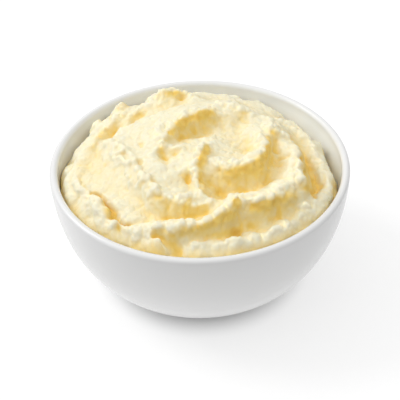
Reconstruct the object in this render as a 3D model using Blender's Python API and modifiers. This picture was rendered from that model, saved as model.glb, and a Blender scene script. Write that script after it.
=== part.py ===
"""A white porcelain bowl heaped with mashed potato that a spoon has swirled.

Metres, +Z up. The origin is the middle of the foot ring's underside, where the bowl stands. Seen from
above, +X is the right side and -Y the side that faces the diner. The heap's shape is worked out in
millimetres, with heights counted from the rim."""

import bpy
import numpy as np

MM = 0.001

# The bowl
RIM_RADIUS = 75 * MM
BOWL_HEIGHT = 67.5 * MM
WALL = 4 * MM
FOOT_RADIUS = 38 * MM
FOOT_HEIGHT = 1.9 * MM
FOOT_RING_WIDTH = 5 * MM
FOOT_EDGE = 0.6 * MM
RECESS_DEPTH = 1.6 * MM
BELLY_RUN = 32 * MM  # how far the belly heads out from the foot
BELLY_RISE = 9.8 * MM  # and how far it has risen there
UPRIGHT_WALL = 17.5 * MM  # how far down from the lip the wall stays upright
WALL_STEPS = 13
LIP_STEPS = 6
BOWL_SEGMENTS = 48

# The heap's body
HEAP_TOP = 14  # mm above the rim at the middle, before the spoon's marks
EDGE_DROP = 9  # mm below the rim where the heap meets the wall
EDGE_TILT = 3.5  # mm that the edge is lower still at the back and higher at the front
# Where the edge is lower still, or higher where the depth is below 0: direction and spread in degrees,
# depth in mm
EDGE_DIPS = ((162, 22, 5), (15, 34, 10), (275, 55, -2))
DOME_POWER = 3
SHOULDER_POWER = 0.8
GAP = 0.6 * MM  # from the potato to the bowl's true curve, of which the flat facets take up to half
HEAP_SEGMENTS = 96
HEAP_RINGS = 24
UNDERSIDE_RINGS = 5
CREST_ROUND = 0.7  # mm, how round the crests are
MARGIN_POWER = 14  # how sharply the spoon's marks fade out at the wall
SPAN_STEPS = 6  # steps to each span of a mark's path

# The spoon's marks. Each is a path of (x, y, rise) in millimetres, the width of its left flank and the
# width of its right flank, left and right as one follows the path. The long paths run anticlockwise round
# the well, so their left flank is the one towards it.
MARKS = (
    # the well's floor, and its lip: back left, then round the front and up the right side, then the back
    ([(-7.5, 3, -3.5), (-0.5, 8.5, -5.5), (9, 10.5, -4.5), (17.5, 4, -4.5), (22, -6, -4)], 7, 8),
    ([(9, 30, 1), (7, 26, 2), (4, 21, 4), (-0.5, 16, 6.5), (-7, 10.5, 7), (-15, 4.5, 5.5), (-19, -2.5, 4),
      (-20, -10.5, 2.5), (-18.5, -18.5, 2.5), (-13.5, -23, 1)], 3.6, 8),
    ([(1.5, -14.5, 0.5), (4.5, -18.5, 0.5), (9, -23.5, 3), (14, -25.5, 4), (20, -26, 6), (25, -23.5, 7.5),
      (29, -17, 7), (30.5, -9, 5.5), (31, 0, 4.5), (35, 6, 3.5), (38.5, 17, 2.5), (35.5, 27, 1)], 4.5, 4),
    ([(31, 25, 0.5), (24.5, 25, 2.5), (19, 27.5, 2.5), (13.5, 30.5, 2), (10.5, 36.5, 0.5)], 3.5, 6),
    # the furrow round the front of the well, its outer crest, and the fold that laps over that crest's end
    ([(-4, -33.5, -3.5), (3, -35, -6.5), (12, -35, -6), (22, -32, -6.5), (31.5, -24.5, -6), (36.5, -13, -5.5),
      (38.5, -1, -4.5)], 5.5, 6),
    ([(17, -48, 1), (22.5, -48, 3.5), (28, -47, 5), (34, -44, 6), (39.5, -40.5, 7), (44.5, -36.5, 7),
      (47.5, -31, 6.5), (48, -23.5, 6.5), (47.5, -16, 6.5), (46, -8.5, 6.5), (43.5, 0, 6.5),
      (41.5, 10.5, 0.5)], 8, 3.8),
    ([(-23, -54.5, 1.5), (-16.5, -57.5, 2.5), (-9.5, -58.5, 4.5), (-2, -58.5, 5.5), (3.5, -57, 6.5),
      (8, -54.5, 7), (11.5, -51, 6.5), (14.5, -48, 6), (17.5, -45.5, 3)], 5, 3.4),
    # the low furrow outside them, and the outer ridges at the front and at the right
    ([(-9, -62.5, -1.5), (-0.5, -62, -4), (10.5, -59.5, -5.5), (21, -56.5, -5.5), (31.5, -52, -5.5),
      (40.5, -45.5, -5.5), (46.5, -37, -5)], 3.8, 3.5),
    ([(-14.5, -66.5, 0.5), (-9, -67, 0.5), (-4, -66.5, 1), (0.5, -66, 1.5), (8, -65.5, 1.5), (14, -64, 1.5),
      (21, -62, 2), (29.5, -59.5, 2.5), (36.5, -56, 3.5), (42.5, -51.5, 4), (47.5, -45.5, 3.5),
      (49.5, -40, 4), (49.5, -35, 3)], 3.5, 5.5),
    ([(52.5, -36, -5), (56, -25, -7), (55, -13, -7), (53, 0, -6), (50.5, 15, -4),
      (47.5, 25.5, -1.5)], 4.5, 4),
    ([(55.5, -35, 4.5), (60, -29.5, 5), (63, -22, 5.5), (63, -16, 5), (61.5, -9.5, 4.5), (60, 2, 4),
      (57, 12, 3.5), (53, 24.5, 2.5), (48.5, 32, 2), (43, 33, 1.5), (36.5, 33.5, 0.5)], 4.5, 3.5),
    # the broad swoosh at the left, the edge of the slab inside it, and the ridge outside it
    ([(-38, 23.5, -0.5), (-44.5, 14, -0.5), (-51, -4, -2.5), (-46, -21, -2.5), (-38, -32.5, -2.5),
      (-28, -42.5, -3), (-15, -48.5, -6), (-1, -49, -6.5), (7.5, -46.5, -5)], 7, 6),
    ([(-49.5, 12, 3.5), (-46.5, 3, 3.5), (-42, -5, 3.5), (-38.5, -11.5, 3.5), (-34.5, -18, 3.5),
      (-33, -23.5, 4), (-29.5, -30.5, 4.5), (-24.5, -36, 5), (-21, -42, 6), (-16, -45.5, 6), (-5, -46, 5.5),
      (2.5, -44.5, 4.5)], 6, 2.6),
    ([(-65, 1, 0.5), (-63, -9, 3), (-61, -18, 4), (-57.5, -27, 4.5), (-52.5, -35.5, 5), (-48.5, -42.5, 5.5),
      (-44.5, -48.5, 6), (-40, -53, 6), (-36, -56.5, 5.5), (-31, -60, 5), (-26, -62.5, 4.5), (-20.5, -65, 4),
      (-15, -67, 2.5)], 3, 6),
    ([(-39.5, 34.5, 1.5), (-45, 29.5, 3), (-51, 26.5, 3), (-54.5, 18, 3), (-56, 6, 3), (-60.5, 0, 1)], 6, 5),
    ([(-7.5, 40, -3.5), (-11, 34.5, -2), (-19, 31.5, -2), (-29, 26.5, -2.5), (-37, 22.5, -3),
      (-44.5, 18.5, -4), (-48, 10, -4.5)], 4, 4),
    # the back edge
    ([(34.5, 36.5, 1), (27.5, 41, 2), (20, 41.5, 3.5), (12.5, 41, 2), (6, 40, 0.5)], 5, 6),
    ([(-5.5, 42, 3.5), (-10.5, 45, 4.5), (-17, 45, 5.5), (-23, 44, 3.5), (-28.5, 39, 1.5)], 4.5, 6),
    # the tooth that stands at the front of the well, the low rim and the lobe beside it
    ([(2, -11.5, 3), (1.5, -16, 5), (0, -21, 5), (-1.5, -26.5, 4), (-0.5, -31.5, 6),
      (0.5, -36, 4.5)], 3.2, 2.8),
    ([(-1, -8, 0.5), (-5, -9, 1.5), (-10, -10.5, 2), (-14.5, -8.5, 1)], 2, 3.2),
    ([(-6, -12, 0.5), (-6.5, -17.5, 1.5), (-6.5, -24, 1), (-7.5, -27.5, 1)], 3, 3),
)
# Single lumps, pits and broad low places: (x, y, rise, radius) in millimetres
LUMPS = (
    (-41.5, 39.5, 5.5, 4.5),
    (-16.5, -15.5, -2, 2.6),
    (-11.5, -13, -2, 2.2),
    (-8.5, 41, -1, 2.2),
    (-20, -58.5, 2, 5),
    (-12.5, -61, 2.5, 4),
    (-55.5, 35, 6, 4.5),
    (-51, 46, 2, 3.5),
    (-33, 60, 3, 4),
    (-33, 45, -3, 4.5),
    (-65.5, 1.5, 1, 3.5),
    (-27, -56, 1, 5),
    (20, 16.5, -2.5, 6.5),
    (-60.5, 27, -2.5, 3.5),
    (-64.5, 18.5, 3, 4),
    (-62.5, 7, 2, 3.2),
    (-67, -2.5, 2.5, 3.2),
    (66.5, 3, 2.5, 3.8),
    (63, 21, 3.5, 3.8),
    (67, -10.5, 3.5, 3.8),
    (10, 44, -3.5, 9),
    (24, 42, -4.5, 9),
    (38, 34, -4.5, 10),
)


def clear_scene():
    for old in list(bpy.data.objects):
        bpy.data.objects.remove(old)


def finish(name, colour, roughness):
    """A plain material of one colour."""
    made = bpy.data.materials.new(name)
    made.use_nodes = True
    shader = made.node_tree.nodes["Principled BSDF"]
    shader.inputs["Base Color"].default_value = (*colour, 1)
    shader.inputs["Roughness"].default_value = roughness
    shader.inputs["Metallic"].default_value = 0
    return made


def wall_curve(steps, inset):
    """(radius, height) points up the wall, at a distance inside its outer face. The outer face is a cubic
    curve that leaves the foot almost flat and reaches the lip upright."""
    shoulder = BOWL_HEIGHT - WALL / 2
    corners = np.array(
        [
            (FOOT_RADIUS + FOOT_EDGE, FOOT_HEIGHT),
            (FOOT_RADIUS + BELLY_RUN, FOOT_HEIGHT + BELLY_RISE),
            (RIM_RADIUS, shoulder - UPRIGHT_WALL),
            (RIM_RADIUS, shoulder),
        ]
    )
    t = np.linspace(0, 1, steps + 1)[:, None]
    curve = np.hstack([(1 - t) ** 3, 3 * t * (1 - t) ** 2, 3 * t**2 * (1 - t), t**3]) @ corners
    slope = np.hstack([(1 - t) ** 2, 2 * t * (1 - t), t**2]) @ np.diff(corners, axis=0)
    inward = np.column_stack([-slope[:, 1], slope[:, 0]]) / np.linalg.norm(slope, axis=1)[:, None]
    return curve + inward * inset


def bowl_section():
    """The bowl's section, from the middle of the floor up the inside, over the round lip, down the outside
    and under the foot to the middle of the recess."""
    inside = wall_curve(WALL_STEPS, WALL)
    outside = wall_curve(WALL_STEPS, 0)[::-1]
    turn = np.pi * np.arange(LIP_STEPS - 1, 0, -1) / LIP_STEPS
    lip = np.column_stack([np.cos(turn), np.sin(turn)]) * WALL / 2
    lip += (RIM_RADIUS - WALL / 2, BOWL_HEIGHT - WALL / 2)
    ring_inside = FOOT_RADIUS - FOOT_RING_WIDTH
    foot = [
        (FOOT_RADIUS, FOOT_EDGE),
        (FOOT_RADIUS - FOOT_EDGE, 0),
        (ring_inside, 0),
        (ring_inside - RECESS_DEPTH, RECESS_DEPTH),
        (0, RECESS_DEPTH),
    ]
    return [(0, inside[0, 1]), *inside, *lip, *outside, *foot]


def build_bowl(collection, glaze):
    """Turns the section once round the upright axis."""
    section = bowl_section()
    mesh = bpy.data.meshes.new("bowl")
    mesh.from_pydata([(r, 0, z) for r, z in section], [(i, i + 1) for i in range(len(section) - 1)], [])
    mesh.materials.append(glaze)
    bowl = bpy.data.objects.new("bowl", mesh)
    collection.objects.link(bowl)
    screw = bowl.modifiers.new("turn", "SCREW")
    screw.steps = screw.render_steps = BOWL_SEGMENTS
    screw.use_merge_vertices = True
    screw.merge_threshold = 0.0001
    screw.use_normal_calculate = True


def smooth_path(points):
    """A Catmull-Rom curve through the points, with every column carried along it."""
    p = np.array(points, float)
    p = np.vstack([2 * p[0] - p[1], p, 2 * p[-1] - p[-2]])
    t = np.linspace(0, 1, SPAN_STEPS, endpoint=False)[:, None]
    spans = [
        b + 0.5 * t * (c - a + t * (2 * a - 5 * b + 4 * c - d + t * (3 * (b - c) + d - a)))
        for a, b, c, d in zip(p, p[1:], p[2:], p[3:])
    ]
    return np.vstack([*spans, p[-2]])


def mark(x, y, points, left_width, right_width):
    """The height that one mark adds. It is the rise at the nearest point of its path, which fades with the
    distance d as exp(-(d / width)^n), where n is 1.5 for a crest and 2 for a furrow. Round the path's ends
    one width turns smoothly into the other."""
    path = smooth_path(points)
    start, run = path[:-1], np.diff(path, axis=0)
    to_x = x[:, None] - start[:, 0]
    to_y = y[:, None] - start[:, 1]
    share = np.clip((to_x * run[:, 0] + to_y * run[:, 1]) / (run[:, 0] ** 2 + run[:, 1] ** 2), 0, 1)
    off_x = to_x - share * run[:, 0]
    off_y = to_y - share * run[:, 1]
    distance = np.hypot(off_x, off_y)
    nearest = distance.argmin(axis=1)
    row = np.arange(len(x))
    off_x, off_y, distance, share = (a[row, nearest] for a in (off_x, off_y, distance, share))
    run = run[nearest]
    side = (run[:, 0] * off_y - run[:, 1] * off_x) / (np.hypot(run[:, 0], run[:, 1]) * distance + 1e-6)
    width = (left_width + right_width) / 2 + (left_width - right_width) / 2 * side
    rise = start[nearest, 2] + share * run[:, 2]
    rounded = np.hypot(distance, CREST_ROUND) - CREST_ROUND
    return rise * np.exp(-((rounded / width) ** np.where(rise > 0, 1.5, 2)))


def edge_height(angle):
    """Where the heap meets the wall, in millimetres over the rim: higher in front than behind, with two
    dips and one rise that are bell curves of the angle round the bowl."""
    edge = -EDGE_DROP - EDGE_TILT * np.sin(angle)
    for direction, spread, depth in EDGE_DIPS:
        turn = (np.degrees(angle) - direction + 180) % 360 - 180
        edge -= depth * np.exp(-((turn / spread) ** 2))
    return edge


def heap_height(x, y, out, edge):
    """Height above the rim in millimetres: a dome that falls to the edge's height at out = 1, with the
    spoon's marks and the single lumps added, which fade out at the wall."""
    dome = edge + (HEAP_TOP - edge) * (1 - out**DOME_POWER) ** SHOULDER_POWER
    relief = sum(mark(x, y, *stroke) for stroke in MARKS)
    for lump_x, lump_y, rise, radius in LUMPS:
        relief += rise * np.exp(-((x - lump_x) ** 2 + (y - lump_y) ** 2) / radius**2)
    return dome + relief * (1 - out**MARGIN_POWER)


def build_heap(collection, potato):
    """Rings of points from the top's middle out to the wall, then down along the wall to the underside's
    middle. The edge's height changes round the bowl, and every ring follows it."""
    hull = np.vstack([(0, wall_curve(1, WALL + GAP)[0, 1]), wall_curve(60, WALL + GAP)])
    hull_length = np.append(0, np.cumsum(np.hypot(*np.diff(hull, axis=0).T)))
    angle = 2 * np.pi * np.arange(HEAP_SEGMENTS) / HEAP_SEGMENTS
    edge = edge_height(angle)
    edge_length = np.interp(BOWL_HEIGHT + edge * MM, hull[:, 1], hull_length)
    edge_radius = np.interp(edge_length, hull_length, hull[:, 0])

    rings = []
    for out in np.arange(1, HEAP_RINGS + 1) / HEAP_RINGS:
        x, y = out * edge_radius * np.cos(angle), out * edge_radius * np.sin(angle)
        z = BOWL_HEIGHT + heap_height(x / MM, y / MM, out, edge) * MM
        rings.append(np.column_stack([x, y, z]))
    for left in np.arange(UNDERSIDE_RINGS, 0, -1) / (UNDERSIDE_RINGS + 1):
        radius = np.interp(left * edge_length, hull_length, hull[:, 0])
        z = np.interp(left * edge_length, hull_length, hull[:, 1])
        rings.append(np.column_stack([radius * np.cos(angle), radius * np.sin(angle), z]))
    middle = np.zeros(1)
    top = BOWL_HEIGHT + heap_height(middle, middle, 0.0, -EDGE_DROP)[0] * MM
    points = np.vstack([(0, 0, top), *rings, (0, 0, hull[0, 1])])

    here = np.arange(HEAP_SEGMENTS)
    after = (here + 1) % HEAP_SEGMENTS
    faces = [(0, 1 + a, 1 + b) for a, b in zip(here, after)]
    for ring in range(len(rings) - 1):
        inner, outer = 1 + ring * HEAP_SEGMENTS, 1 + (ring + 1) * HEAP_SEGMENTS
        faces += [(inner + a, outer + a, outer + b, inner + b) for a, b in zip(here, after)]
    last = len(points) - 1
    faces += [(last, last - HEAP_SEGMENTS + b, last - HEAP_SEGMENTS + a) for a, b in zip(here, after)]

    mesh = bpy.data.meshes.new("mashed_potato")
    mesh.from_pydata(points.tolist(), [], [tuple(map(int, face)) for face in faces])
    mesh.materials.append(potato)
    mesh.shade_smooth()
    collection.objects.link(bpy.data.objects.new("mashed_potato", mesh))


clear_scene()
dish = bpy.data.collections.new("mashed_potato_side")
bpy.context.scene.collection.children.link(dish)
build_bowl(dish, finish("white glazed porcelain", (0.83, 0.83, 0.83), 0.2))
build_heap(dish, finish("buttery mashed potato", (0.90, 0.78, 0.45), 0.55))
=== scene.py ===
import bpy
import numpy as np
from mathutils import Matrix, Vector


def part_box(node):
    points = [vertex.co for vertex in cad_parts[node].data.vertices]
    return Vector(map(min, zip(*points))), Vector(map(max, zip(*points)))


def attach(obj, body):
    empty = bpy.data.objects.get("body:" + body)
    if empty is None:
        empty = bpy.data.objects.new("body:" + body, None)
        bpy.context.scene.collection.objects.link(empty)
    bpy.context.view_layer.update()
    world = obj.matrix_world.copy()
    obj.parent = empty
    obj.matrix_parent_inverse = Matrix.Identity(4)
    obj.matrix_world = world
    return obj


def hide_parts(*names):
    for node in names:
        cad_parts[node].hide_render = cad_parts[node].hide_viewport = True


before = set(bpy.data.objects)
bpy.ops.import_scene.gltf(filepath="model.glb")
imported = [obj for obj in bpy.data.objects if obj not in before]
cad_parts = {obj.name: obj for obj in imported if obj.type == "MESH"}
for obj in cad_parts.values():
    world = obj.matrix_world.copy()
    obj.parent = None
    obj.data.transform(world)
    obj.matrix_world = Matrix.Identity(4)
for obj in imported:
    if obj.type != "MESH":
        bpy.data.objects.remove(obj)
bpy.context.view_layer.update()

# A white porcelain bowl heaped with mashed potato that a spoon has swirled. The shapes are worked out in
# millimetres and go into the meshes in metres. The front is towards -Y.

MM = 0.001
TINY = 1e-6
RIM_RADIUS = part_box("bowl")[1][0] / MM
RIM_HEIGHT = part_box("bowl")[1][2] / MM

# The bowl, as the CAD has it
WALL = 4.0
FOOT_RADIUS = 38.0
FOOT_HEIGHT = 1.9
FOOT_RING_WIDTH = 5.0
FOOT_EDGE = 0.6  # radius of the foot ring's two edges
RECESS_DEPTH = 1.6
RECESS_COVE = 1.0  # radius of the corner between the foot ring and the recess
BELLY_RUN = 32.0  # the wall leaves the foot towards a point this far out
BELLY_RISE = 9.8  # and this far up
UPRIGHT_WALL = 17.5  # and it comes to the lip from a point this far straight below
PAINTED_LIGHT_RUN = 6.0  # how far below the lip the painted light that whitens the inside is whole

# How finely the bowl is made
BOWL_SEGMENTS = 240
WALL_STEPS = 80
FLAT_RINGS = 12  # rings across the floor, and across the recess
LIP_POINTS = 18
CORNER_POINTS = 6
POLE_RING = 0.5  # radius of the smallest ring, which a fan closes

# The heap's body, as the CAD has it. Its heights are over the rim.
HEAP_TOP = 14.0  # the dome's middle, before the spoon's marks
EDGE_DROP = 9.0  # how far below the rim the heap meets the wall
EDGE_TILT = 3.5  # how much lower still the edge is at the back, and higher at the front
# Where the edge is lower still, or higher for a depth below 0: direction and spread in degrees, depth
EDGE_DIPS = ((162, 22, 5.0), (15, 34, 10.0), (275, 55, -2.0))
DOME_POWER = 3  # how long the dome stays level on its way out
SHOULDER_POWER = 0.8  # how round its shoulder is
MARGIN_POWER = 14  # how close to the wall the marks fade out
CREST_ROUND = 0.7  # how round the crests are
CREST_POWER = 1.5  # how a crest's height fades with the distance: as exp(-(d / width)^power)
FURROW_POWER = 2.0  # and a furrow's

# What the heap has beyond the CAD's
HEAP_GAP = 0.15  # the potato lies against the glaze, a hair away from it
HEAP_CELLS = 300  # cells across the heap, each about 0.5 mm
HULL_STEPS = 400  # steps up the wall, to read its radius from
UNDERSIDE_RINGS = 5
SPAN_STEPS = 8  # points on a path for each of its own
MARK_REACH = 3.2  # widths from its path past which a mark adds nothing
CREASE_MARGIN_POWER = 40  # how close to the wall the creases fade out
EDGE_LUMPS = 5.0  # height of the lumps that make the edge along the wall uneven
EDGE_LUMP_SIZE = 9.0
EDGE_LUMP_CIRCLE = 70.0  # radius of the circle that they are read along
EDGE_LUMP_POWER = 12  # how close to the wall they begin
WANDER, WANDER_SIZE = 1.1, 7.0  # how far the marks wander sideways, and over what length
RAGGED, RAGGED_SIZE = 0.4, 3.2  # and how ragged they are besides
PRESSURE, PRESSURE_SIZE = 0.15, 5.0  # the share by which the marks' depth varies, and over what length

# The mash's own texture. Curds have a size, a height, how far noise shifts them, and the salt of their noise.
LARGE_CURDS = (5.5, 2.4, 0.8, 21)
MIDDLE_CURDS = (3.0, 1.7, 0.8, 31)
SMALL_CURDS = (1.7, 0.6, 0.4, 41)
WALL_CURDS = (11.0, 1.0, 2.0, 81)
CURD_MEAN = 0.6  # taken off, so that the curds raise nothing on the whole
SHIFT_SIZE = 5.0  # the size of the noise that shifts them
CREST_WIDTH, CREST_SOFT = 4.0, 0.7  # a crest is what stands over the mean of this width, then softened
CREST_WHOLE = 0.9  # how high a crest stands where its larger curds are whole
FURROW_SHARE = 0.3  # the share of their height that they keep in a swept furrow
OUTER_PART, OUTER_LOSS = (0.75, 0.9), 0.45  # how far out they lose height again, and the share lost
WALL_PART = (0.72, 0.92)  # how far out the fat lumps along the wall begin, and where they are whole
WALL_FATNESS, BACK_FATNESS = 3.0, 2.5  # their height in front, and what is added to it at the back
HEAP_DEPTH = 60.0  # from front to back, the stretch over which it is added
SWELL_SIZE, SWELL_HEIGHT = 9.0, 0.3  # a gentle unevenness
SWIRL_MIDDLE = (12.0, 4.0)
STREAK_SIZE, STREAK_HEIGHT, STREAK_SHIFT = 2.4, 0.35, 0.6  # the spoon's streaks round the swirl's middle
STREAK_TURN = 8.0  # radius of the circle on which their pattern is read
CREASE_LOSS, CREASE_LIMIT = 0.25, 3.0  # the share that the texture loses for each millimetre of a crease
TEXTURE_MARGIN_POWER = 36  # how close to the wall it fades out

# Painted shade, as a deeper gold, and how much of it: the marks' steep sides, each millimetre below the mean
# of a wide and a narrow stretch, the band along the wall, the gaps between curds, and a crease's depth
# squared
PAINTED_SHADE_YELLOW = {"sides": 1.6, "hollows": 0.16, "grooves": 0.35, "wall": 0.8, "gaps": 0.3, "creases": 0.035}
YELLOW_EVERYWHERE = 0.06
SHADED_SIDE, SIDE_SHARE = (0.74, -0.67), 0.6  # the way turned from the window, whose sides get more painted shade, and the share of the steepness that counts only towards it
SLOPE_SOFT = 0.8  # the marks are softened by this much before their slopes are measured
STEEP_FROM, STEEP_LIMIT = 0.22, 0.7  # the slope from which a side is steep, and how much more counts
SIDE_LEVEL, SIDE_HIGH, SIDE_LOW = 0.65, 0.3, 0.3  # how much a side counts level with its surroundings, with
# what each millimetre above them adds, and the least that is left below them
SIDE_WALL_LOSS, SIDE_WALL_POWER = 0.3, 8  # the share that it loses at the wall, and how close to it
HOLLOW_WIDTH, HOLLOW_LIMIT = 7.0, 4.0
GROOVE_WIDTH, GROOVE_FROM, GROOVE_LIMIT = 2.0, 0.2, 2.0
WALL_BAND = 0.95  # how far out the band of painted shade along the wall begins
GAP_WIDTH = 1.5

# The spoon's marks, as the CAD has them but for the lean. Each is a path of (x, y, rise), the width of its
# left flank, the width of its right flank, and how far its crest leans over to the right. A rise is a crest
# and a fall is a furrow.
MARKS = (
    # the well's floor, and its lip: at the left, round the front and up the right side, and at the back
    ([(-7.5, 3, -3.5), (-0.5, 8.5, -5.5), (9, 10.5, -4.5), (17.5, 4, -4.5), (22, -6, -4)], 7, 8, 0),
    ([(9, 30, 1), (7, 26, 2), (4, 21, 4), (-0.5, 16, 6.5), (-7, 10.5, 7), (-15, 4.5, 5.5), (-19, -2.5, 4),
      (-20, -10.5, 2.5), (-18.5, -18.5, 2.5), (-13.5, -23, 1)], 3.6, 8, -1),
    ([(1.5, -14.5, 0.5), (4.5, -18.5, 0.5), (9, -23.5, 3), (14, -25.5, 4), (20, -26, 6), (25, -23.5, 7.5),
      (29, -17, 7), (30.5, -9, 5.5), (31, 0, 4.5), (35, 6, 3.5), (38.5, 17, 2.5), (35.5, 27, 1)], 4.5, 4, 1),
    ([(31, 25, 0.5), (24.5, 25, 2.5), (19, 27.5, 2.5), (13.5, 30.5, 2), (10.5, 36.5, 0.5)], 3.5, 6, 0),
    # the furrow round the front of the well, its outer crest, and the fold that laps over that crest's end
    ([(-4, -33.5, -3.5), (3, -35, -6.5), (12, -35, -6), (22, -32, -6.5), (31.5, -24.5, -6), (36.5, -13, -5.5),
      (38.5, -1, -4.5)], 5.5, 6, 0),
    ([(17, -48, 1), (22.5, -48, 3.5), (28, -47, 5), (34, -44, 6), (39.5, -40.5, 7), (44.5, -36.5, 7),
      (47.5, -31, 6.5), (48, -23.5, 6.5), (47.5, -16, 6.5), (46, -8.5, 6.5), (43.5, 0, 6.5),
      (41.5, 10.5, 0.5)], 8, 3.8, 1.4),
    ([(-23, -54.5, 1.5), (-16.5, -57.5, 2.5), (-9.5, -58.5, 4.5), (-2, -58.5, 5.5), (3.5, -57, 6.5),
      (8, -54.5, 7), (11.5, -51, 6.5), (14.5, -48, 6), (17.5, -45.5, 3)], 5, 3.4, 0.8),
    # the low furrow outside them and the outer ridge at the front, then the same two at the right
    ([(-9, -62.5, -1.5), (-0.5, -62, -4), (10.5, -59.5, -5.5), (21, -56.5, -5.5), (31.5, -52, -5.5),
      (40.5, -45.5, -5.5), (46.5, -37, -5)], 3.8, 3.5, 0),
    ([(-14.5, -66.5, 0.5), (-9, -67, 0.5), (-4, -66.5, 1), (0.5, -66, 1.5), (8, -65.5, 1.5), (14, -64, 1.5),
      (21, -62, 2), (29.5, -59.5, 2.5), (36.5, -56, 3.5), (42.5, -51.5, 4), (47.5, -45.5, 3.5),
      (49.5, -40, 4), (49.5, -35, 3)], 3.5, 5.5, 0.3),
    ([(52.5, -36, -5), (56, -25, -7), (55, -13, -7), (53, 0, -6), (50.5, 15, -4),
      (47.5, 25.5, -1.5)], 4.5, 4, 0),
    ([(55.5, -35, 4.5), (60, -29.5, 5), (63, -22, 5.5), (63, -16, 5), (61.5, -9.5, 4.5), (60, 2, 4),
      (57, 12, 3.5), (53, 24.5, 2.5), (48.5, 32, 2), (43, 33, 1.5), (36.5, 33.5, 0.5)], 4.5, 3.5, 0.8),
    # the broad swoosh at the left, the edge of the slab inside it, the ridge outside it, and the shelf and
    # the furrow at the back left
    ([(-38, 23.5, -0.5), (-44.5, 14, -0.5), (-51, -4, -2.5), (-46, -21, -2.5), (-38, -32.5, -2.5),
      (-28, -42.5, -3), (-15, -48.5, -6), (-1, -49, -6.5), (7.5, -46.5, -5)], 7, 6, 0),
    ([(-49.5, 12, 3.5), (-46.5, 3, 3.5), (-42, -5, 3.5), (-38.5, -11.5, 3.5), (-34.5, -18, 3.5),
      (-33, -23.5, 4), (-29.5, -30.5, 4.5), (-24.5, -36, 5), (-21, -42, 6), (-16, -45.5, 6), (-5, -46, 5.5),
      (2.5, -44.5, 4.5)], 6, 2.6, 0.8),
    ([(-65, 1, 0.5), (-63, -9, 3), (-61, -18, 4), (-57.5, -27, 4.5), (-52.5, -35.5, 5), (-48.5, -42.5, 5.5),
      (-44.5, -48.5, 6), (-40, -53, 6), (-36, -56.5, 5.5), (-31, -60, 5), (-26, -62.5, 4.5),
      (-20.5, -65, 4), (-15, -67, 2.5)], 3, 6, -1.2),
    ([(-39.5, 34.5, 1.5), (-45, 29.5, 3), (-51, 26.5, 3), (-54.5, 18, 3), (-56, 6, 3),
      (-60.5, 0, 1)], 6, 5, -0.3),
    ([(-7.5, 40, -3.5), (-11, 34.5, -2), (-19, 31.5, -2), (-29, 26.5, -2.5), (-37, 22.5, -3),
      (-44.5, 18.5, -4), (-48, 10, -4.5)], 4, 4, 0),
    # the back edge
    ([(34.5, 36.5, 1), (27.5, 41, 2), (20, 41.5, 3.5), (12.5, 41, 2), (6, 40, 0.5)], 5, 6, 0),
    ([(-5.5, 42, 3.5), (-10.5, 45, 4.5), (-17, 45, 5.5), (-23, 44, 3.5), (-28.5, 39, 1.5)], 4.5, 6, 0),
    # the tooth that stands at the front of the well, the low rim and the lobe beside it
    ([(2, -11.5, 3), (1.5, -16, 5), (0, -21, 5), (-1.5, -26.5, 4), (-0.5, -31.5, 6),
      (0.5, -36, 4.5)], 3.2, 2.8, 0.8),
    ([(-1, -8, 0.5), (-5, -9, 1.5), (-10, -10.5, 2), (-14.5, -8.5, 1)], 2, 3.2, 0),
    ([(-6, -12, 0.5), (-6.5, -17.5, 1.5), (-6.5, -24, 1), (-7.5, -27.5, 1)], 3, 3, 0),
)
# Single lumps, pits and broad low places: (x, y, rise, radius)
LUMPS = (
    (-41.5, 39.5, 5.5, 4.5),
    (-16.5, -15.5, -2, 2.6),
    (-11.5, -13, -2, 2.2),
    (-6, -30.5, -0.5, 2),
    (-8.5, 41, -1, 2.2),
    (34, 22, 0.5, 4),
    (-20, -58.5, 2, 5),
    (-12.5, -61, 2.5, 4),
    (-55.5, 35, 6, 4.5),
    (-51, 46, 2, 3.5),
    (-33, 60, 3, 4),
    (-33, 45, -3, 4.5),
    (-65.5, 1.5, 1, 3.5),
    (-55, -34.5, 0.5, 4.5),
    (-48.5, -44, 0.5, 4.5),
    (-41, -52, 0.5, 5),
    (-27, -56, 1, 5),
    (15.5, -65, 0.5, 4),
    (14, -48.5, 0.5, 4),
    (20, 16.5, -2.5, 6.5),
    (-60.5, 27, -2.5, 3.5),
    (-64.5, 18.5, 3, 4),
    (-62.5, 7, 2, 3.2),
    (-67, -2.5, 2.5, 3.2),
    (66.5, 3, 2.5, 3.8),
    (63, 21, 3.5, 3.8),
    (67, -10.5, 3.5, 3.8),
    (-0.5, -66, 0.5, 3.5),
    (10, 44, -3.5, 9),
    (24, 42, -4.5, 9),
    (38, 34, -4.5, 10),
)
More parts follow.
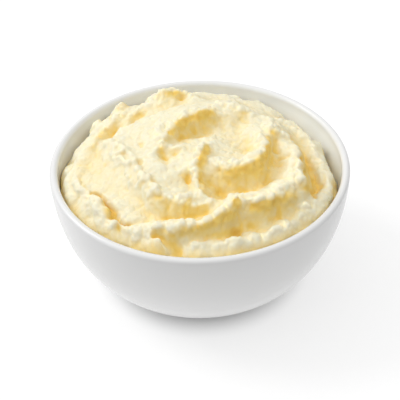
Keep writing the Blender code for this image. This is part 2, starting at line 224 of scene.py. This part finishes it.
# Creases where the mash was folded over: a path of (x, y), the depth and the width
CREASES = (
    ([(-49, -32), (-45.5, -38), (-41.5, -44), (-37.5, -48.5), (-33.5, -52.5)], 3.4, 1.3),
    ([(-36.5, -55.5), (-33.5, -58.5)], 2.2, 1.5),
    ([(-20, -61.5), (-16.5, -63.5), (-12.5, -65.5), (-9, -67)], 3.2, 1.1),
    ([(-25, -35.5), (-22.5, -40), (-19, -44), (-15.5, -45.5)], 1.6, 1.5),
    ([(-13.5, -46.5), (-10, -46.5)], 1.4, 1.4),
    ([(-5.5, -47.5), (-1, -47.5), (2.5, -47.5)], 1.4, 1.3),
    ([(-3, -44), (2, -43)], 1.3, 1.1),
    ([(-33, -22.5), (-30.5, -27.5), (-29.5, -31)], 1.8, 1.4),
    ([(-36, -13), (-34.5, -16.5)], 1.4, 1.3),
    ([(-28.5, -19), (-28.5, -21)], 1.4, 1),
    ([(-28.5, -5.5), (-28, -7)], 1.2, 1),
    ([(-30.5, -51.5), (-25, -51.5)], 1.2, 1.8),
    ([(-18.5, -14.5), (-16.5, -20)], 1.8, 1.8),
    ([(-2.5, 9.5), (-2, 9)], 1.1, 1.1),
    ([(-9, 3), (-5.5, 3.5)], 0.8, 1),
    ([(33, 2.5), (35, 0), (35.5, -6.5)], 1.3, 2.1),
    ([(23, 20.5), (24.5, 17.5)], 1.1, 1.8),
    ([(39.5, -11.5), (42, -13)], 1.1, 1.4),
    ([(54, 17), (56, 12)], 1.3, 1.6),
    ([(43.5, 0.5), (46, -11.5), (48.5, -19), (49, -25)], 1.4, 1.8),
    ([(52.5, -27.5), (53.5, -32.5)], 1.4, 1.8),
    ([(34, -45), (35, -45)], 1.1, 1.1),
    ([(36, -46.5), (36.5, -48)], 0.9, 1.1),
    ([(43.5, -52), (47, -49.5)], 1.8, 1.8),
    ([(17, -54), (16.5, -56.5)], 0.8, 1.1),
    ([(20.5, -65.5), (23, -64.5)], 1.4, 1.7),
    ([(32.5, -59.5), (36.5, -57.5)], 1.4, 1.6),
    ([(-40.5, -7), (-39, -9)], 0.9, 1.1),
    ([(-45, 13.5), (-43, 21)], 1.2, 1.8),
    ([(-33.5, 26.5), (-29, 29.5)], 1.1, 1.7),
    ([(-6, -30), (-5.5, -31)], 1.4, 1.5),
    ([(-20, -34), (-14.5, -36)], 0.8, 1),
)

# The floor of the studio
FLOOR_REACH = 3000.0
FLOOR_DROP = 0.05  # how far it lies below the foot ring
SHEET_RADIUS = 255.0
SHEET_BACK = 110.0  # how far behind the bowl the sheet's middle lies
SHEET_FADE = 1.15  # the sheet's edge fades out to this many of its radii
PAINTED_SHADOW_RING = (38, 60)  # radii where the sheet's painted glow starts and where it is whole; less glow inside is a painted shadow
PAINTED_GLOW_STRENGTH = 0.5


def linear(code):
    """A linear RGBA colour from an sRGB hex code."""
    srgb = np.array([int(code[i : i + 2], 16) for i in (1, 3, 5)]) / 255
    low, high = srgb / 12.92, ((srgb + 0.055) / 1.055) ** 2.4
    return (*np.where(srgb <= 0.04045, low, high).tolist(), 1.0)


def node(tree, kind, settings=None, **inputs):
    """Adds a shader node. Settings are its own attributes. An input given as a socket is linked, and any
    other value is set. An input's name has _ for a space, or is its place with a _ before it."""
    made = tree.nodes.new(kind)
    for key, value in (settings or {}).items():
        setattr(made, key, value)
    for key, value in inputs.items():
        socket = made.inputs[int(key[1:])] if key[0] == "_" else made.inputs[key.replace("_", " ")]
        if isinstance(value, bpy.types.NodeSocket):
            tree.links.new(value, socket)
        else:
            socket.default_value = value
    return made


def new_material(name):
    """An empty node material with its tree and shader."""
    made = bpy.data.materials.new(name)
    made.use_nodes = True
    return made, made.node_tree, made.node_tree.nodes["Principled BSDF"]


def grid_faces(rows, columns, closed):
    """Quads between neighbouring points of a grid with the given rows and columns. A closed grid's last
    column meets its first."""
    row = np.arange(rows - 1)[:, None] * columns
    here = np.arange(columns if closed else columns - 1)[None, :]
    after = (here + 1) % columns
    quads = np.stack([row + here, row + columns + here, row + columns + after, row + after], axis=-1)
    return quads.reshape(-1, 4)


def make_mesh(name, points, quads, triangles=()):
    """A smooth mesh object from points in millimetres, four-cornered faces and three-cornered faces."""
    quads, triangles = np.asarray(quads, int), np.asarray(triangles, int).reshape(-1, 3)
    mesh = bpy.data.meshes.new(name)
    corners = np.concatenate([quads.ravel(), triangles.ravel()])
    sizes = np.concatenate([np.full(len(quads), 4), np.full(len(triangles), 3)])
    mesh.vertices.add(len(points))
    mesh.vertices.foreach_set("co", (np.asarray(points) * MM).astype(np.float32).ravel())
    mesh.loops.add(len(corners))
    mesh.loops.foreach_set("vertex_index", corners.astype(np.int32))
    mesh.polygons.add(len(sizes))
    mesh.polygons.foreach_set("loop_start", (np.cumsum(sizes) - sizes).astype(np.int32))
    mesh.update(calc_edges=True)
    mesh.validate()
    mesh.shade_smooth()
    made = bpy.data.objects.new(name, mesh)
    bpy.context.scene.collection.objects.link(made)
    return made


def store_values(made, name, values):
    """Stores one value for each of a mesh object's points, for its material to read."""
    attribute = made.data.attributes.new(name, "FLOAT", "POINT")
    attribute.data.foreach_set("value", np.asarray(values, np.float32))


def ramp(value, start, end):
    """0 up to the start, 1 from the end on, and even between them."""
    return np.clip((value - start) / (end - start), 0, 1)


# ---- shapes ----


def wall_curve(steps, inset):
    """(radius, height) points up the wall, at a distance inside its outer face. The outer face is a cubic
    curve that leaves the foot low and reaches the lip upright."""
    shoulder = RIM_HEIGHT - WALL / 2
    corners = np.array(
        [
            (FOOT_RADIUS + FOOT_EDGE, FOOT_HEIGHT),
            (FOOT_RADIUS + BELLY_RUN, FOOT_HEIGHT + BELLY_RISE),
            (RIM_RADIUS, shoulder - UPRIGHT_WALL),
            (RIM_RADIUS, shoulder),
        ]
    )
    t = np.linspace(0, 1, steps + 1)[:, None]
    curve = np.hstack([(1 - t) ** 3, 3 * t * (1 - t) ** 2, 3 * t**2 * (1 - t), t**3]) @ corners
    slope = np.hstack([(1 - t) ** 2, 2 * t * (1 - t), t**2]) @ np.diff(corners, axis=0)
    inward = np.column_stack([-slope[:, 1], slope[:, 0]]) / np.linalg.norm(slope, axis=1)[:, None]
    return curve + inward * inset


def arc(middle, radius, start, end, steps):
    """Points along an arc, from one angle to another in degrees."""
    angle = np.radians(np.linspace(start, end, steps))
    return np.array(middle) + radius * np.column_stack([np.cos(angle), np.sin(angle)])


def bowl_section():
    """The bowl's section, from the middle of the floor up the inside, over the round lip, down the outside
    and under the foot to the middle of the recess."""
    inside = wall_curve(WALL_STEPS, WALL)
    outside = wall_curve(WALL_STEPS, 0)[::-1]
    level = np.ones(FLAT_RINGS - 1)
    floor = np.column_stack([np.linspace(POLE_RING, inside[0, 0], FLAT_RINGS)[:-1], level * inside[0, 1]])
    lip = arc((RIM_RADIUS - WALL / 2, RIM_HEIGHT - WALL / 2), WALL / 2, 180, 0, LIP_POINTS)[1:-1]
    ring_inside = FOOT_RADIUS - FOOT_RING_WIDTH
    outer_edge = arc((FOOT_RADIUS - FOOT_EDGE, FOOT_EDGE), FOOT_EDGE, 0, -90, CORNER_POINTS)
    inner_edge = arc((ring_inside + FOOT_EDGE, FOOT_EDGE), FOOT_EDGE, -90, -180, CORNER_POINTS)
    cove = arc((ring_inside - RECESS_COVE, RECESS_DEPTH - RECESS_COVE), RECESS_COVE, 0, 90, CORNER_POINTS)[1:]
    under = np.column_stack([np.linspace(cove[-1, 0], POLE_RING, FLAT_RINGS)[1:], level * RECESS_DEPTH])
    return np.vstack([floor, inside, lip, outside, outer_edge, inner_edge, cove, under])


def build_bowl():
    """Turns the section once round the upright axis: (r cos a, r sin a, z) for every section point and
    angle. The stored values of painted light grow from 0 at the lip to 1 lower down the inside, 0 outside."""
    section = bowl_section()
    angle = 2 * np.pi * np.arange(BOWL_SEGMENTS) / BOWL_SEGMENTS
    radius, height = section[:, 0:1], section[:, 1:2]
    rings = np.stack([radius * np.cos(angle), radius * np.sin(angle), height + 0 * angle], axis=-1)
    points = np.vstack([rings.reshape(-1, 3), (0, 0, section[0, 1]), (0, 0, section[-1, 1])])
    floor_middle, under_middle = len(points) - 2, len(points) - 1
    here = np.arange(BOWL_SEGMENTS)
    after = np.roll(here, -1)
    last_ring = (len(section) - 1) * BOWL_SEGMENTS
    floor_fan = np.column_stack([here, after, np.full(BOWL_SEGMENTS, floor_middle)])
    under_fan = np.column_stack([last_ring + after, last_ring + here, np.full(BOWL_SEGMENTS, under_middle)])
    quads = grid_faces(len(section), BOWL_SEGMENTS, closed=True)
    made = make_mesh("porcelain_bowl", points, quads, np.vstack([floor_fan, under_fan]))
    inside = np.arange(len(section)) <= np.argmax(section[:, 1])
    # painted light: whitens the inside wall from a little below the lip down
    painted_light_inside = inside * ramp(-section[:, 1], -RIM_HEIGHT, PAINTED_LIGHT_RUN - RIM_HEIGHT)
    store_values(made, "painted_light_inside", np.append(np.repeat(painted_light_inside, BOWL_SEGMENTS), (1, 0)))
    return made


def smooth_path(points):
    """A Catmull-Rom curve through the points, with every column carried along it."""
    p = np.array(points, float)
    p = np.vstack([2 * p[0] - p[1], p, 2 * p[-1] - p[-2]])
    t = np.linspace(0, 1, SPAN_STEPS, endpoint=False)[:, None]
    spans = [
        b + 0.5 * t * (c - a + t * (2 * a - 5 * b + 4 * c - d + t * (3 * (b - c) + d - a)))
        for a, b, c, d in zip(p, p[1:], p[2:], p[3:])
    ]
    return np.vstack([*spans, p[-2]])


def mark(x, y, points, left_width, right_width, lean):
    """What one mark adds to (x, y, height). The height is the rise at the nearest point of its path, which
    fades as exp(-(d / width)^n) with the distance d, where n differs for crests and furrows, and d is
    rounded off so that a crest is not sharp. Round the path's ends one width turns smoothly into the other.
    The top is pushed towards the path's right by the lean, in step with its height."""
    path = smooth_path(points)
    added = np.zeros((len(x), 3))
    reach = MARK_REACH * max(left_width, right_width)
    low, high = path.min(axis=0) - reach, path.max(axis=0) + reach
    near = np.flatnonzero((x > low[0]) & (x < high[0]) & (y > low[1]) & (y < high[1]))
    start, run = path[:-1], np.diff(path, axis=0)
    to_x = x[near, None] - start[:, 0]
    to_y = y[near, None] - start[:, 1]
    share = np.clip((to_x * run[:, 0] + to_y * run[:, 1]) / (run[:, 0] ** 2 + run[:, 1] ** 2), 0, 1)
    off_x = to_x - share * run[:, 0]
    off_y = to_y - share * run[:, 1]
    distance = np.hypot(off_x, off_y)
    nearest = distance.argmin(axis=1)
    row = np.arange(len(near))
    off_x, off_y, distance, share = (a[row, nearest] for a in (off_x, off_y, distance, share))
    run = run[nearest]
    length = np.hypot(run[:, 0], run[:, 1])
    side = (run[:, 0] * off_y - run[:, 1] * off_x) / (length * distance + TINY)
    width = (left_width + right_width) / 2 + (left_width - right_width) / 2 * side
    rise = start[nearest, 2] + share * run[:, 2]
    rounded = np.hypot(distance, CREST_ROUND) - CREST_ROUND
    fade = np.exp(-((rounded / width) ** np.where(rise > 0, CREST_POWER, FURROW_POWER)))
    push = lean * fade * rise / max(abs(path[:, 2]).max(), TINY)
    added[near] = np.column_stack([push * run[:, 1] / length, -push * run[:, 0] / length, rise * fade])
    return added


def hashed(cell, salt):
    """A number from 0 to 1 for each whole-number cell, always the same for the same cell and salt: sums and
    products with big odd numbers, whose high bits are folded onto the low ones."""
    n = (cell[..., 0] * 374761393 + cell[..., 1] * 668265263 + cell[..., 2] * 1442695041 + salt * 974634777)
    n = ((n & 0xFFFFFFFF) ^ ((n & 0xFFFFFFFF) >> 13)) * 1274126177 & 0xFFFFFFFF
    return ((n ^ (n >> 16)) & 0xFFFFFF) / 0xFFFFFF


def waves(points, size, salt):
    """Smooth noise from -1 to 1: random values at the corners of cubes of the given size, blended between
    them with 6t^5 - 15t^4 + 10t^3."""
    place = points / size
    cell = np.floor(place).astype(np.int64)
    t = place - cell
    t = t**3 * (t * (t * 6 - 15) + 10)
    total = np.zeros(len(points))
    for corner in np.ndindex(2, 2, 2):
        corner = np.array(corner)
        weight = np.where(corner, t, 1 - t).prod(axis=1)
        total += weight * hashed(cell + corner, salt)
    return total * 2 - 1


def curds(points, size, salt):
    """Round bumps that meet in creases, with the mean taken off: one minus the squared distance to the
    nearest of the points scattered one in each cube of the given size, which is from 0 to 1."""
    place = points / size
    cell = np.floor(place).astype(np.int64)
    nearest = np.full(len(points), np.inf)
    for step in np.ndindex(3, 3, 3):
        other = cell + np.array(step) - 1
        middle = other + np.stack([hashed(other, salt + k) for k in (1, 2, 3)], axis=-1)
        nearest = np.minimum(nearest, ((middle - place) ** 2).sum(axis=1))
    return np.clip(1 - nearest, 0, 1) - CURD_MEAN


def blurred(grid, distance):
    """A grid over the heap smoothed by a bell curve of the given width, by way of its Fourier transform."""
    margin = 40
    cells = distance * HEAP_CELLS / (2 * RIM_RADIUS)
    padded = np.pad(grid, margin, mode="edge")
    u = np.fft.fftfreq(padded.shape[0])[:, None]
    v = np.fft.rfftfreq(padded.shape[1])[None, :]
    bell = np.exp(-2 * (np.pi * cells) ** 2 * (u**2 + v**2))
    smooth = np.fft.irfft2(np.fft.rfft2(padded) * bell, padded.shape)
    return smooth[margin:-margin, margin:-margin]


def normals_of(surface):
    """Upward unit normals of a grid of points, from the cross product of its two directions."""
    across = np.gradient(surface, axis=0)
    along = np.gradient(surface, axis=1)
    normal = np.cross(across, along)
    return normal / (np.linalg.norm(normal, axis=-1, keepdims=True) + 1e-9)


def edge_height(angle):
    """Where the heap meets the wall, over the rim: higher in front than behind, with two dips and one rise
    that are bell curves of the angle round the bowl."""
    edge = -EDGE_DROP - EDGE_TILT * np.sin(angle)
    for direction, spread, depth in EDGE_DIPS:
        turn = (np.degrees(angle) - direction + 180) % 360 - 180
        edge -= depth * np.exp(-((turn / spread) ** 2))
    return edge


def heap_surface():
    """The heap's top as a square grid of points (u, v) pulled into a disc: x = u sqrt(1 - v^2 / 2) and
    y = v sqrt(1 - u^2 / 2), so that out, the distance from the middle, is 1 at the wall. The height is the
    edge's height plus (top - edge)(1 - out^3)^0.8, with lumps along the edge, the spoon's marks, the single
    lumps and the creases added. The marks wander sideways by smooth noise, and all but the edge's lumps fade
    out at the wall. Returns the surface, the marks' height, the creases' depth, out, the angle, the inner
    wall's section and the edge's height."""
    ticks = np.linspace(-1, 1, HEAP_CELLS + 1)
    u, v = np.meshgrid(ticks, ticks, indexing="ij")
    disc_x, disc_y = u * np.sqrt(1 - v**2 / 2), v * np.sqrt(1 - u**2 / 2)
    out = np.clip(np.hypot(disc_x, disc_y), 0, 1)
    angle = np.arctan2(disc_y, disc_x)
    circle = EDGE_LUMP_CIRCLE * np.stack([np.cos(angle), np.sin(angle), 0 * angle], axis=-1).reshape(-1, 3)
    uneven = EDGE_LUMPS * curds(circle, EDGE_LUMP_SIZE, 71).reshape(out.shape)
    level = edge_height(angle)
    edge = level + uneven

    hull = wall_curve(HULL_STEPS, WALL + HEAP_GAP)
    radius = np.interp(RIM_HEIGHT + edge, hull[:, 1], hull[:, 0])
    x, y = (disc_x * radius).ravel(), (disc_y * radius).ravel()
    dome = level + (HEAP_TOP - level) * (1 - out**DOME_POWER) ** SHOULDER_POWER
    dome += uneven * out**EDGE_LUMP_POWER
    plan = np.column_stack([x, y, 0 * x])
    marks_x = x + WANDER * waves(plan, WANDER_SIZE, 61) + RAGGED * waves(plan, RAGGED_SIZE, 62)
    marks_y = y + WANDER * waves(plan, WANDER_SIZE, 63) + RAGGED * waves(plan, RAGGED_SIZE, 64)
    relief = sum(mark(marks_x, marks_y, *stroke) for stroke in MARKS)
    relief *= 1 + PRESSURE * waves(plan, PRESSURE_SIZE, 65)[:, None]
    for lump_x, lump_y, rise, lump_radius in LUMPS:
        relief[:, 2] += rise * np.exp(-((x - lump_x) ** 2 + (y - lump_y) ** 2) / lump_radius**2)
    relief *= 1 - out.reshape(-1, 1) ** MARGIN_POWER
    creases = sum(
        mark(marks_x, marks_y, [(*place, -depth) for place in path], width, width, 0)
        for path, depth, width in CREASES
    )
    relief += creases * (1 - out.reshape(-1, 1) ** CREASE_MARGIN_POWER)
    surface = np.column_stack([x, y, dome.ravel() + RIM_HEIGHT]) + relief
    marks_height, crease_depth = relief[:, 2].reshape(out.shape), -creases[:, 2].reshape(out.shape)
    return surface.reshape(*out.shape, 3), marks_height, crease_depth, out, angle, hull, edge


def texture_height(surface, crest, creases, out):
    """How far the mash's own texture stands out of the surface: curds of three sizes, the larger two whole
    only on the crests, fat lumps along the wall that are fatter at the back, streaks round the swirl's
    middle, and a gentle unevenness. It is less deep in a crease and fades out at the wall."""
    points = surface.reshape(-1, 3)
    shift = np.stack([waves(points, SHIFT_SIZE, salt) for salt in (11, 12, 13)], axis=-1)

    def layer(size, height, shift_share, salt):
        return height * curds(points + shift_share * shift, size, salt).reshape(out.shape)

    on_crests = ramp(crest, 0, CREST_WHOLE) * (1 - OUTER_LOSS * ramp(out, *OUTER_PART))
    rough = FURROW_SHARE + (1 - FURROW_SHARE) * on_crests
    bumps = (layer(*LARGE_CURDS) + layer(*MIDDLE_CURDS)) * rough + layer(*SMALL_CURDS)
    bumps += SWELL_HEIGHT * waves(points, SWELL_SIZE, 51).reshape(out.shape)
    off = points[:, :2] - SWIRL_MIDDLE
    reach = np.hypot(*off.T)[:, None] + TINY
    round_the_middle = np.hstack([reach, STREAK_TURN * off / reach]) + STREAK_SHIFT * shift
    bumps += STREAK_HEIGHT * waves(round_the_middle, STREAK_SIZE, 91).reshape(out.shape)
    fatness = WALL_FATNESS + BACK_FATNESS * ramp(surface[..., 1], -HEAP_DEPTH / 2, HEAP_DEPTH / 2)
    bumps += fatness * layer(*WALL_CURDS) * ramp(out, *WALL_PART)
    return bumps * (1 - out**TEXTURE_MARGIN_POWER) * (1 - CREASE_LOSS * np.clip(creases, 0, CREASE_LIMIT))


def painted_shade_depth(relief, crest, bumps, creases, out):
    """How deep the painted shade is at each point, as a deeper gold: the sum of what the table of causes
    lists.
    A side's steepness is the slope of the marks, in part all round and in part only towards the right front,
    turned from the window, and it counts for more high up on a crest and for less close to the wall."""
    slope_x, slope_y = np.gradient(blurred(relief, SLOPE_SOFT), 2 * RIM_RADIUS / HEAP_CELLS)
    # the painted shade leans to the sides turned from the window
    one_way = -SHADED_SIDE[0] * slope_x - SHADED_SIDE[1] * slope_y
    steep = (1 - SIDE_SHARE) * np.hypot(slope_x, slope_y) + SIDE_SHARE * one_way
    counts = np.clip(SIDE_LEVEL + SIDE_HIGH * crest, SIDE_LOW, 1)
    counts *= 1 - SIDE_WALL_LOSS * out**SIDE_WALL_POWER
    causes = {
        "sides": np.clip(steep - STEEP_FROM, 0, STEEP_LIMIT) * counts,
        "hollows": np.clip(blurred(relief, HOLLOW_WIDTH) - relief, 0, HOLLOW_LIMIT),
        "grooves": np.clip(blurred(relief, GROOVE_WIDTH) - relief - GROOVE_FROM, 0, GROOVE_LIMIT),
        "wall": ramp(out, WALL_BAND, 1),
        "gaps": blurred(bumps, GAP_WIDTH) - bumps,
        "creases": creases**2,
    }
    return YELLOW_EVERYWHERE + sum(PAINTED_SHADE_YELLOW[cause] * amount for cause, amount in causes.items())


def build_heap():
    """The heap's top with the texture laid on it along its normals, closed by rings that run down along the
    bowl's wall to the middle of the underside. The values stored on it say how deep its painted shade is."""
    surface, relief, creases, out, angle, hull, edge = heap_surface()
    crest = blurred(relief - blurred(relief, CREST_WIDTH), CREST_SOFT)
    bumps = texture_height(surface, crest, creases, out)
    surface = surface + normals_of(surface) * bumps[..., None]
    size = HEAP_CELLS + 1
    index = np.arange(size * size).reshape(size, size)
    border = np.concatenate([index[:-1, 0], index[-1, :-1], index[:0:-1, -1], index[0, :0:-1]])
    top = surface.reshape(-1, 3)
    hull = np.vstack([(0, hull[0, 1]), hull])
    hull_length = np.append(0, np.cumsum(np.hypot(*np.diff(hull, axis=0).T)))
    border_angle = angle.ravel()[border]
    border_length = np.interp(RIM_HEIGHT + edge.ravel()[border], hull[:, 1], hull_length)
    rings = []
    for left in np.arange(UNDERSIDE_RINGS, 0, -1) / (UNDERSIDE_RINGS + 1):
        radius = np.interp(left * border_length, hull_length, hull[:, 0])
        z = np.interp(left * border_length, hull_length, hull[:, 1])
        rings.append(np.column_stack([radius * np.cos(border_angle), radius * np.sin(border_angle), z]))
    points = np.vstack([top, *rings, (0, 0, hull[0, 1])])

    quads = [grid_faces(size, size, closed=False)]
    upper = border
    for ring in range(UNDERSIDE_RINGS):
        lower = len(top) + ring * len(border) + np.arange(len(border))
        quads.append(np.column_stack([upper, lower, np.roll(lower, -1), np.roll(upper, -1)]))
        upper = lower
    fan = np.column_stack([upper, np.full(len(border), len(points) - 1), np.roll(upper, -1)])
    made = make_mesh("swirled_mashed_potato", points, np.vstack(quads), fan)
    # painted shade, as a deeper gold, for the top's points
    painted_shade_yellow = np.zeros(len(points))
    painted_shade_yellow[: len(top)] = painted_shade_depth(relief, crest, bumps, creases, out).ravel()
    store_values(made, "painted_shade_yellow", painted_shade_yellow)
    return made


# ---- materials ----


def white_glazed_porcelain():
    """Hard white porcelain under a clear fired coat of glass: a bright, faintly clouded body, whitened inside
    below the lip by painted light, and a smooth coat with a slow ripple that mirrors the lights softly."""
    material, tree, shader = new_material("white_glazed_porcelain")
    place = node(tree, "ShaderNodeTexCoord").outputs["Object"]
    cloud = node(tree, "ShaderNodeTexNoise", Vector=place, Scale=1 / (40 * MM), Detail=2.0)
    body = node(tree, "ShaderNodeMix", {"data_type": "RGBA"}, _0=cloud.outputs["Fac"])
    body.inputs[6].default_value = linear("#E4E4E4")
    body.inputs[7].default_value = linear("#E1E1E0")
    painted_light_inside = node(tree, "ShaderNodeAttribute", {"attribute_name": "painted_light_inside"})
    lightened_inside = node(tree, "ShaderNodeMix", {"data_type": "RGBA"}, _0=painted_light_inside.outputs["Fac"], _6=body.outputs[2])
    # painted light: the inside is whitened towards this colour
    lightened_inside.inputs[7].default_value = linear("#F8FAFD")
    tree.links.new(lightened_inside.outputs[2], shader.inputs["Base Color"])
    shader.inputs["Roughness"].default_value = 0.22
    shader.inputs["IOR"].default_value = 1.5
    ripple = node(tree, "ShaderNodeTexNoise", Vector=place, Scale=1 / (6 * MM), Detail=1.0)
    bump = node(tree, "ShaderNodeBump", Height=ripple.outputs["Fac"], Strength=0.05, Distance=0.1 * MM)
    tree.links.new(bump.outputs["Normal"], shader.inputs["Normal"])
    return material


def buttery_mashed_potato():
    """Floury potato mashed with butter and milk: a moist, pale cream that light soaks into, with a grain of
    about 0.8 mm. Painted shade turns it through a butter gold to a deep golden hue as its stored values go
    from 0 to 2. Red light goes 2.3 mm into it, green 1.6 mm and blue 0.5 mm, so its thin edges glow warm."""
    material, tree, shader = new_material("buttery_mashed_potato")
    place = node(tree, "ShaderNodeTexCoord").outputs["Object"]
    painted_shade_yellow = node(tree, "ShaderNodeAttribute", {"attribute_name": "painted_shade_yellow"}).outputs["Fac"]
    depth = node(tree, "ShaderNodeMapRange", {"clamp": True}, Value=painted_shade_yellow, From_Min=0.0, From_Max=1.0)
    colour = node(tree, "ShaderNodeMix", {"data_type": "RGBA"}, _0=depth.outputs[0])
    colour.inputs[6].default_value = linear("#E8E3C9")
    # painted shade: the cream turns to this gold, then to the deeper one below, where the stored values paint
    # shade
    colour.inputs[7].default_value = linear("#EBCB6E")
    deep = node(tree, "ShaderNodeMapRange", {"clamp": True}, Value=painted_shade_yellow, From_Min=1.0, From_Max=2.0)
    deeper = node(tree, "ShaderNodeMix", {"data_type": "RGBA"}, _0=deep.outputs[0], _6=colour.outputs[2])
    deeper.inputs[7].default_value = linear("#DBA938")
    tree.links.new(deeper.outputs[2], shader.inputs["Base Color"])
    shader.inputs["Roughness"].default_value = 0.5
    shader.inputs["IOR"].default_value = 1.4
    shader.subsurface_method = "BURLEY"
    shader.inputs["Subsurface Weight"].default_value = 1.0
    shader.inputs["Subsurface Radius"].default_value = (2.3, 1.6, 0.5)
    shader.inputs["Subsurface Scale"].default_value = MM
    grain = node(tree, "ShaderNodeTexNoise", Vector=place, Scale=1 / (0.8 * MM), Detail=3.0)
    bump = node(tree, "ShaderNodeBump", Height=grain.outputs["Fac"], Strength=0.5, Distance=0.25 * MM)
    tree.links.new(bump.outputs["Normal"], shader.inputs["Normal"])
    return material


def disc_value(tree, place, middle_y, start, end):
    """A shader value from the distance to (0, middle_y): 0 at the start and 1 at the end, with a smooth
    step between. With the start beyond the end it is 1 inside the disc and 0 outside."""
    away = node(tree, "ShaderNodeVectorMath", {"operation": "DISTANCE"}, _0=place, _1=(0, middle_y * MM, 0))
    step = node(
        tree,
        "ShaderNodeMapRange",
        {"interpolation_type": "SMOOTHSTEP"},
        Value=away.outputs["Value"],
        From_Min=start * MM,
        From_Max=end * MM,
    )
    return step.outputs[0]


def white_sheet_painted_glow():
    """A round sheet of matt white acrylic on a grey table. It glows, though it is no lamp, which washes out
    its shadow except round the foot, left dark as a painted shadow; the grey beyond keeps light off the
    bowl's sides."""
    material, tree, shader = new_material("white_sheet_painted_glow")
    place = node(tree, "ShaderNodeTexCoord").outputs["Object"]
    sheet = disc_value(tree, place, SHEET_BACK, SHEET_FADE * SHEET_RADIUS, SHEET_RADIUS)
    colour = node(tree, "ShaderNodeMix", {"data_type": "RGBA"}, _0=sheet)
    colour.inputs[6].default_value = linear("#8C8C8C")
    colour.inputs[7].default_value = linear("#BCBCBC")
    tree.links.new(colour.outputs[2], shader.inputs["Base Color"])
    # painted glow, which the sheet gives though it is no lamp, left out round the foot as a painted shadow
    ring = disc_value(tree, place, 0, *PAINTED_SHADOW_RING)
    glow_share = node(tree, "ShaderNodeMath", {"operation": "MULTIPLY"}, _0=sheet, _1=ring)
    glow = node(tree, "ShaderNodeMath", {"operation": "MULTIPLY"}, _0=glow_share.outputs[0], _1=PAINTED_GLOW_STRENGTH)
    shader.inputs["Emission Color"].default_value = (1, 1, 1, 1)
    tree.links.new(glow.outputs[0], shader.inputs["Emission Strength"])
    shader.inputs["Roughness"].default_value = 0.9
    shader.inputs["Specular IOR Level"].default_value = 0.0
    return material


# ---- the pieces ----

bowl = build_bowl()
bowl.data.materials.append(white_glazed_porcelain())
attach(bowl, "root")
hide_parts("bowl")

heap = build_heap()
heap.data.materials.append(buttery_mashed_potato())
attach(heap, "root")
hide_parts("mashed_potato")

corners = FLOOR_REACH * np.array([(-1, -1, 0), (1, -1, 0), (1, 1, 0), (-1, 1, 0)]) - (0, 0, FLOOR_DROP)
floor = make_mesh("studio_floor", corners, [(0, 1, 2, 3)])
floor.data.materials.append(white_sheet_painted_glow())


# ---- camera and light ----

CAMERA_FIELD = 24.0  # degrees across the picture
CAMERA_DISTANCE = 473.6 * MM  # from the point on the bowl's axis that the camera circles
AIM_HEIGHT = 65 * MM  # that point's height
CAMERA_HEIGHT_ANGLE = 37.13  # degrees that the camera stands above it
CAMERA_DIP = 2.224  # degrees that it looks below it
CAMERA_ROLL = 1.218  # degrees that it is turned about its own axis
CAMERA_LEFT = 0.21 * MM  # how far left of the bowl's axis it stands

camera = bpy.data.objects.new("camera", bpy.data.cameras.new("camera"))
bpy.context.scene.collection.objects.link(camera)
bpy.context.scene.camera = camera
camera.data.angle = np.radians(CAMERA_FIELD)
camera.data.clip_start = 0.01
height_angle = np.radians(CAMERA_HEIGHT_ANGLE)
stand = CAMERA_DISTANCE * Vector((0, -np.cos(height_angle), np.sin(height_angle)))
camera.matrix_world = (
    Matrix.Translation(stand + Vector((-CAMERA_LEFT, 0, AIM_HEIGHT)))
    @ Matrix.Rotation(np.pi / 2 - height_angle - np.radians(CAMERA_DIP), 4, "X")
    @ Matrix.Rotation(-np.radians(CAMERA_ROLL), 4, "Z")
)


def add_sun(name, towards, strength, spread):
    """A far, wide lamp that shines from the given direction, so that the floor has no falloff."""
    lamp = bpy.data.lights.new(name, "SUN")
    lamp.energy = strength
    lamp.angle = np.radians(spread)
    made = bpy.data.objects.new(name, lamp)
    made.rotation_euler = Vector(towards).to_track_quat("Z", "Y").to_euler()
    bpy.context.scene.collection.objects.link(made)


def light_the_room(towards, everywhere, overhead):
    """A studio whose light comes from a big soft ceiling: the same low light everywhere, and more from the
    given direction, where it grows with the square of the cosine."""
    world = bpy.data.worlds.new("soft_ceiling")
    bpy.context.scene.world = world
    world.use_nodes = True
    tree = world.node_tree
    place = node(tree, "ShaderNodeTexCoord").outputs["Generated"]
    middle = Vector(towards).normalized()
    along = node(tree, "ShaderNodeVectorMath", {"operation": "DOT_PRODUCT"}, _0=place, _1=middle)
    ahead = node(tree, "ShaderNodeMath", {"operation": "MAXIMUM"}, _0=along.outputs["Value"], _1=0.0)
    squared = node(tree, "ShaderNodeMath", {"operation": "POWER"}, _0=ahead.outputs[0], _1=2.0)
    scaled = {"_0": squared.outputs[0], "_1": overhead, "_2": everywhere}
    total = node(tree, "ShaderNodeMath", {"operation": "MULTIPLY_ADD"}, **scaled)
    background = tree.nodes["Background"]
    background.inputs["Color"].default_value = (1, 1, 1, 1)
    tree.links.new(total.outputs[0], background.inputs["Strength"])


light_the_room(towards=(-0.5, 0.15, 1.0), everywhere=0.7, overhead=0.6)
add_sun("window", towards=(-0.9, 0.3, 0.85), strength=0.84, spread=26)
bpy.context.scene.view_settings.view_transform = "Standard"
